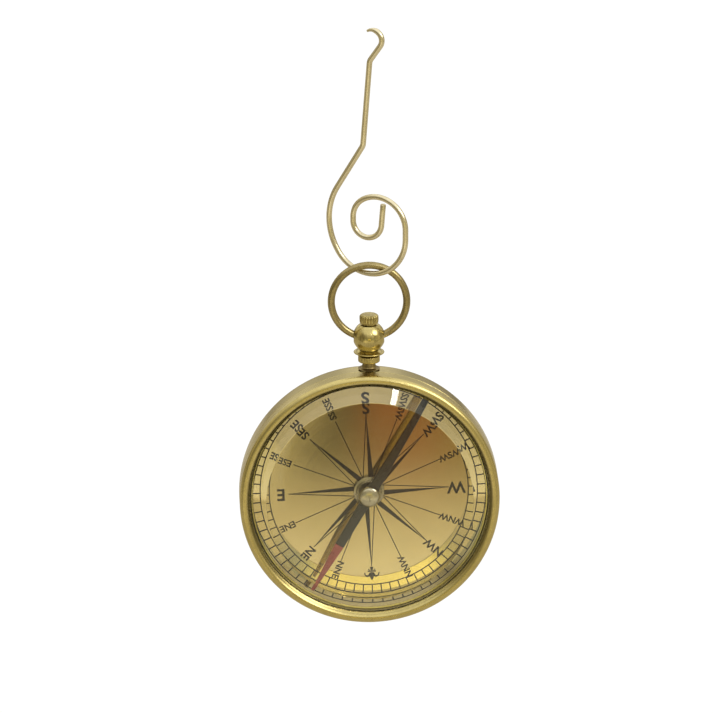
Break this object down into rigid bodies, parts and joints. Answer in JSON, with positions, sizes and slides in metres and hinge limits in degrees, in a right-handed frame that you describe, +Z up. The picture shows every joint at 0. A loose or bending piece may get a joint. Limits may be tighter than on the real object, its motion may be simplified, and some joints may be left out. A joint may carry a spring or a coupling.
{
  "type": "ship compass",
  "caption": "Round brass pocket compass with a bevelled crystal, engraved rose and free needle, hung by its bow ring from a scrolled wire hook.",
  "frame": {"origin": "centre of the case's flat back face", "axes": "+Y out of the case's back, so the dial faces -Y; +Z up along the crown towards the hook; +X right as seen from the dial's side"},
  "size_m": [0.05, 0.0106, 0.1179],
  "materials": {
    "case_brass": "polished, lightly worn",
    "bezel_brass": "polished",
    "crown_brass": "polished, tarnished in the grooves",
    "inner_brass": "satin",
    "dial_brass": "polished, engraved and ink-filled",
    "cap_brass": "polished",
    "ring_brass": "aged",
    "hook_brass": "polished",
    "crystal_glass": "clear, bevelled",
    "gasket_rubber": "matt",
    "steel": "turned",
    "needle_steel": "blackened, one end painted red",
    "jewel": "polished"
  },
  "bodies": {
    "hook": {"hook_wire": "hook_brass"},
    "ring": {"bow_ring": "ring_brass"},
    "case": {"case_band": "case_brass", "back_cover": "case_brass", "bezel_ring": "bezel_brass", "crystal_gasket": "gasket_rubber", "crystal": "crystal_glass", "dial_seat_ring": "inner_brass", "dial_plate": "dial_brass", "spacer_ring": "inner_brass", "pivot_boss": "inner_brass", "pivot_pin": "steel", "pivot_nut": "inner_brass", "crown_stud": "steel", "crown_base": "crown_brass", "crown_collar": "crown_brass", "crown_flange": "crown_brass", "crown_ball": "crown_brass", "crown_finial": "crown_brass"},
    "needle": {"needle_blade": "needle_steel", "needle_cap": "cap_brass", "cap_jewel": "jewel"}
  },
  "joints": [
    {"name": "ring_sway", "type": "hinge", "parent": "hook", "child": "ring", "pos_m": [0, -0.0049, 0.05183], "axis": [0.4695, 0.8829, 0], "range_deg": [-25, 25]},
    {"name": "case_swing", "type": "hinge", "parent": "ring", "child": "case", "pos_m": [0, -0.0049, 0.03165], "axis": [1, 0, 0], "range_deg": [-100, 100]},
    {"name": "needle_spin", "type": "hinge", "parent": "case", "child": "needle", "pos_m": [0, -0.0065, 0], "axis": [0, 1, 0], "continuous": true}
  ]
}
